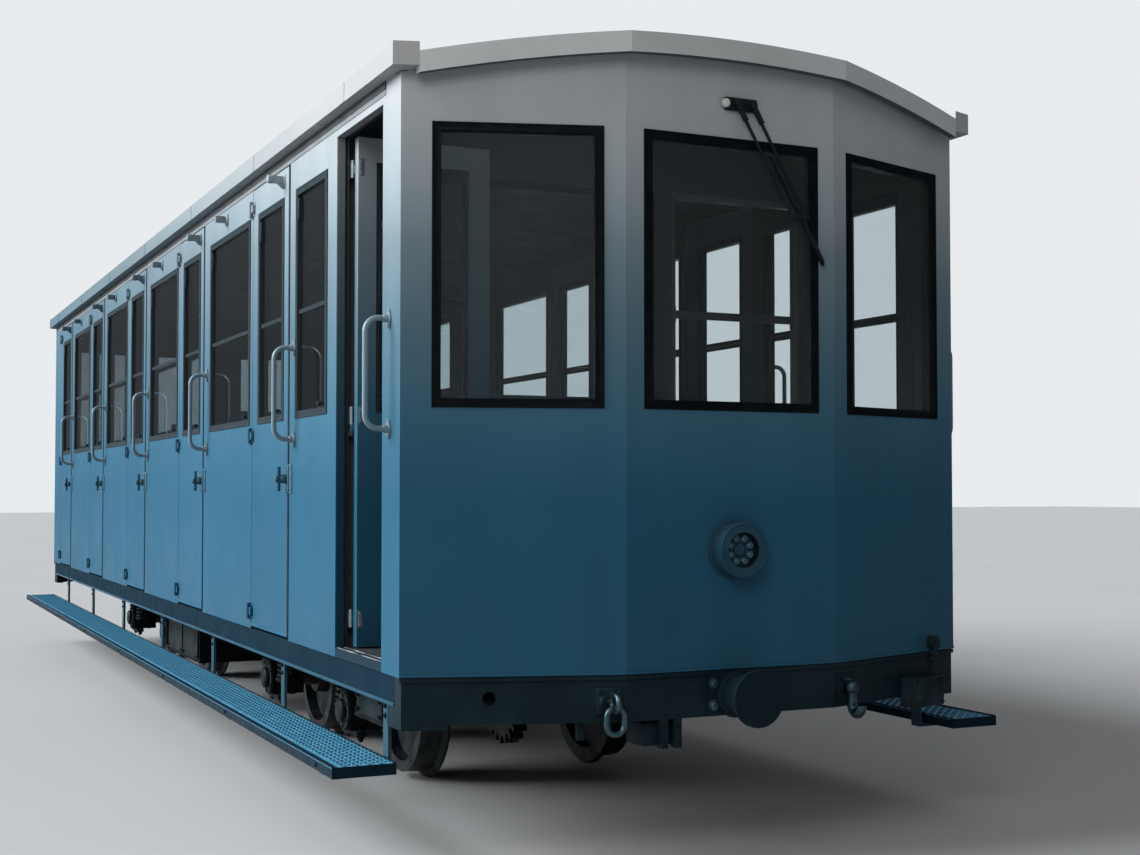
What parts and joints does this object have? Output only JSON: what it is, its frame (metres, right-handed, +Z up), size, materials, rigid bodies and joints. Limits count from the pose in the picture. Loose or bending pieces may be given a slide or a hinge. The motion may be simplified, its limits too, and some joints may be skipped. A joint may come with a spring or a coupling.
{
  "type": "rack railway coach",
  "caption": "Narrow-gauge rack-railway coach with a three-facet glazed cab end, hinged compartment doors, full-length running boards and two four-wheel bogies.",
  "frame": {"origin": "under the middle of the coach, level with the bottom of the wheel flanges", "axes": "+Y from the leading cab end to the rear, +Z up, +X to the coach's side away from the open cab door"},
  "size_m": [2.626, 9.57, 2.747],
  "materials": {
    "body_paint": "satin paint, pale above the waist and blue below",
    "roof_paint": "matt grey paint",
    "frame_paint": "dark blue-black frame paint",
    "tread_plate": "raised-pattern tread plate",
    "floor_board": "dark sheet floor covering",
    "running_gear": "grimy black",
    "wheel_steel": "dark rims with bright treads",
    "bare_steel": "worn forged steel",
    "bright_rail": "satin bright rail",
    "lamp_ring": "painted lamp body",
    "black_fittings": "black fittings",
    "interior_panel": "grey lining panel",
    "bench_wood": "varnished slats",
    "glass": "clear safety glass"
  },
  "bodies": {
    "car": {"end_wall_front": "body_paint", "end_wall_rear": "body_paint", "glass_ends": "glass", "side_panels_left": "body_paint", "side_panels_right": "body_paint", "glass_sides": "glass", "cant_rails": "body_paint", "roof": "roof_paint", "cornices": "roof_paint", "gutters": "roof_paint", "floor": "floor_board", "headstocks": "frame_paint", "sole_bars": "frame_paint", "centre_sills": "frame_paint", "cross_members": "frame_paint", "footboards": "tread_plate", "footboard_hangers": "frame_paint", "underfloor_gear": "frame_paint", "buffers": "frame_paint", "draw_gear": "bare_steel", "headlight": "lamp_ring", "wiper": "black_fittings", "brake_cock": "black_fittings", "grab_rails": "bright_rail", "bulkhead": "interior_panel", "bulkhead_glass": "glass", "bench_seats": "bench_wood", "bench_backs": "bench_wood", "cab_desk": "interior_panel"},
    "door_left_1": {"door_left_1": "body_paint", "door_left_1_glass": "glass"},
    "door_left_2": {"door_left_2": "body_paint", "door_left_2_glass": "glass"},
    "door_left_3": {"door_left_3": "body_paint", "door_left_3_glass": "glass"},
    "door_left_4": {"door_left_4": "body_paint", "door_left_4_glass": "glass"},
    "door_left_5": {"door_left_5": "body_paint", "door_left_5_glass": "glass"},
    "cab_door_left": {"cab_door_left": "body_paint", "cab_door_left_glass": "glass"},
    "door_right_1": {"door_right_1": "body_paint", "door_right_1_glass": "glass"},
    "door_right_2": {"door_right_2": "body_paint", "door_right_2_glass": "glass"},
    "door_right_3": {"door_right_3": "body_paint", "door_right_3_glass": "glass"},
    "door_right_4": {"door_right_4": "body_paint", "door_right_4_glass": "glass"},
    "door_right_5": {"door_right_5": "body_paint", "door_right_5_glass": "glass"},
    "cab_door_right": {"cab_door_right": "body_paint", "cab_door_right_glass": "glass"},
    "bogie_front": {"bogie_front": "running_gear"},
    "wheelset_front_1": {"wheelset_front_1": "wheel_steel"},
    "wheelset_front_2": {"wheelset_front_2": "wheel_steel"},
    "bogie_rear": {"bogie_rear": "running_gear"},
    "wheelset_rear_1": {"wheelset_rear_1": "wheel_steel"},
    "wheelset_rear_2": {"wheelset_rear_2": "wheel_steel"}
  },
  "joints": [
    {"name": "door_left_1_hinge", "type": "hinge", "parent": "car", "child": "door_left_1", "pos_m": [-1.112, -2.438, 1.5], "axis": [0, 0, 1], "range_deg": [-168, 0]},
    {"name": "door_left_2_hinge", "type": "hinge", "parent": "car", "child": "door_left_2", "pos_m": [-1.112, -0.833, 1.5], "axis": [0, 0, 1], "range_deg": [-168, 0]},
    {"name": "door_left_3_hinge", "type": "hinge", "parent": "car", "child": "door_left_3", "pos_m": [-1.112, 0.772, 1.5], "axis": [0, 0, 1], "range_deg": [-168, 0]},
    {"name": "door_left_4_hinge", "type": "hinge", "parent": "car", "child": "door_left_4", "pos_m": [-1.112, 2.377, 1.5], "axis": [0, 0, 1], "range_deg": [-168, 0]},
    {"name": "door_left_5_hinge", "type": "hinge", "parent": "car", "child": "door_left_5", "pos_m": [-1.112, 3.982, 1.5], "axis": [0, 0, 1], "range_deg": [-168, 0]},
    {"name": "cab_door_left_hinge", "type": "hinge", "parent": "car", "child": "cab_door_left", "pos_m": [-1.043, -3.701, 1.5], "axis": [0, 0, 1], "range_deg": [-90, 0]},
    {"name": "door_right_1_hinge", "type": "hinge", "parent": "car", "child": "door_right_1", "pos_m": [1.112, -2.438, 1.5], "axis": [0, 0, 1], "range_deg": [0, 168]},
    {"name": "door_right_2_hinge", "type": "hinge", "parent": "car", "child": "door_right_2", "pos_m": [1.112, -0.833, 1.5], "axis": [0, 0, 1], "range_deg": [0, 168]},
    {"name": "door_right_3_hinge", "type": "hinge", "parent": "car", "child": "door_right_3", "pos_m": [1.112, 0.772, 1.5], "axis": [0, 0, 1], "range_deg": [0, 168]},
    {"name": "door_right_4_hinge", "type": "hinge", "parent": "car", "child": "door_right_4", "pos_m": [1.112, 2.377, 1.5], "axis": [0, 0, 1], "range_deg": [0, 168]},
    {"name": "door_right_5_hinge", "type": "hinge", "parent": "car", "child": "door_right_5", "pos_m": [1.112, 3.982, 1.5], "axis": [0, 0, 1], "range_deg": [0, 168]},
    {"name": "cab_door_right_hinge", "type": "hinge", "parent": "car", "child": "cab_door_right", "pos_m": [1.043, -3.701, 1.5], "axis": [0, 0, 1], "range_deg": [-90, 0]},
    {"name": "bogie_front_swivel", "type": "hinge", "parent": "car", "child": "bogie_front", "pos_m": [0, -2.02, 0.55], "axis": [0, 0, 1], "range_deg": [-5, 5]},
    {"name": "wheelset_front_1_roll", "type": "hinge", "parent": "bogie_front", "child": "wheelset_front_1", "pos_m": [0, -2.67, 0.305], "axis": [1, 0, 0], "continuous": true},
    {"name": "wheelset_front_2_roll", "type": "hinge", "parent": "bogie_front", "child": "wheelset_front_2", "pos_m": [0, -1.37, 0.305], "axis": [1, 0, 0], "continuous": true},
    {"name": "bogie_rear_swivel", "type": "hinge", "parent": "car", "child": "bogie_rear", "pos_m": [0, 2.02, 0.55], "axis": [0, 0, 1], "range_deg": [-5, 5]},
    {"name": "wheelset_rear_1_roll", "type": "hinge", "parent": "bogie_rear", "child": "wheelset_rear_1", "pos_m": [0, 1.37, 0.305], "axis": [1, 0, 0], "continuous": true},
    {"name": "wheelset_rear_2_roll", "type": "hinge", "parent": "bogie_rear", "child": "wheelset_rear_2", "pos_m": [0, 2.67, 0.305], "axis": [1, 0, 0], "continuous": true}
  ]
}
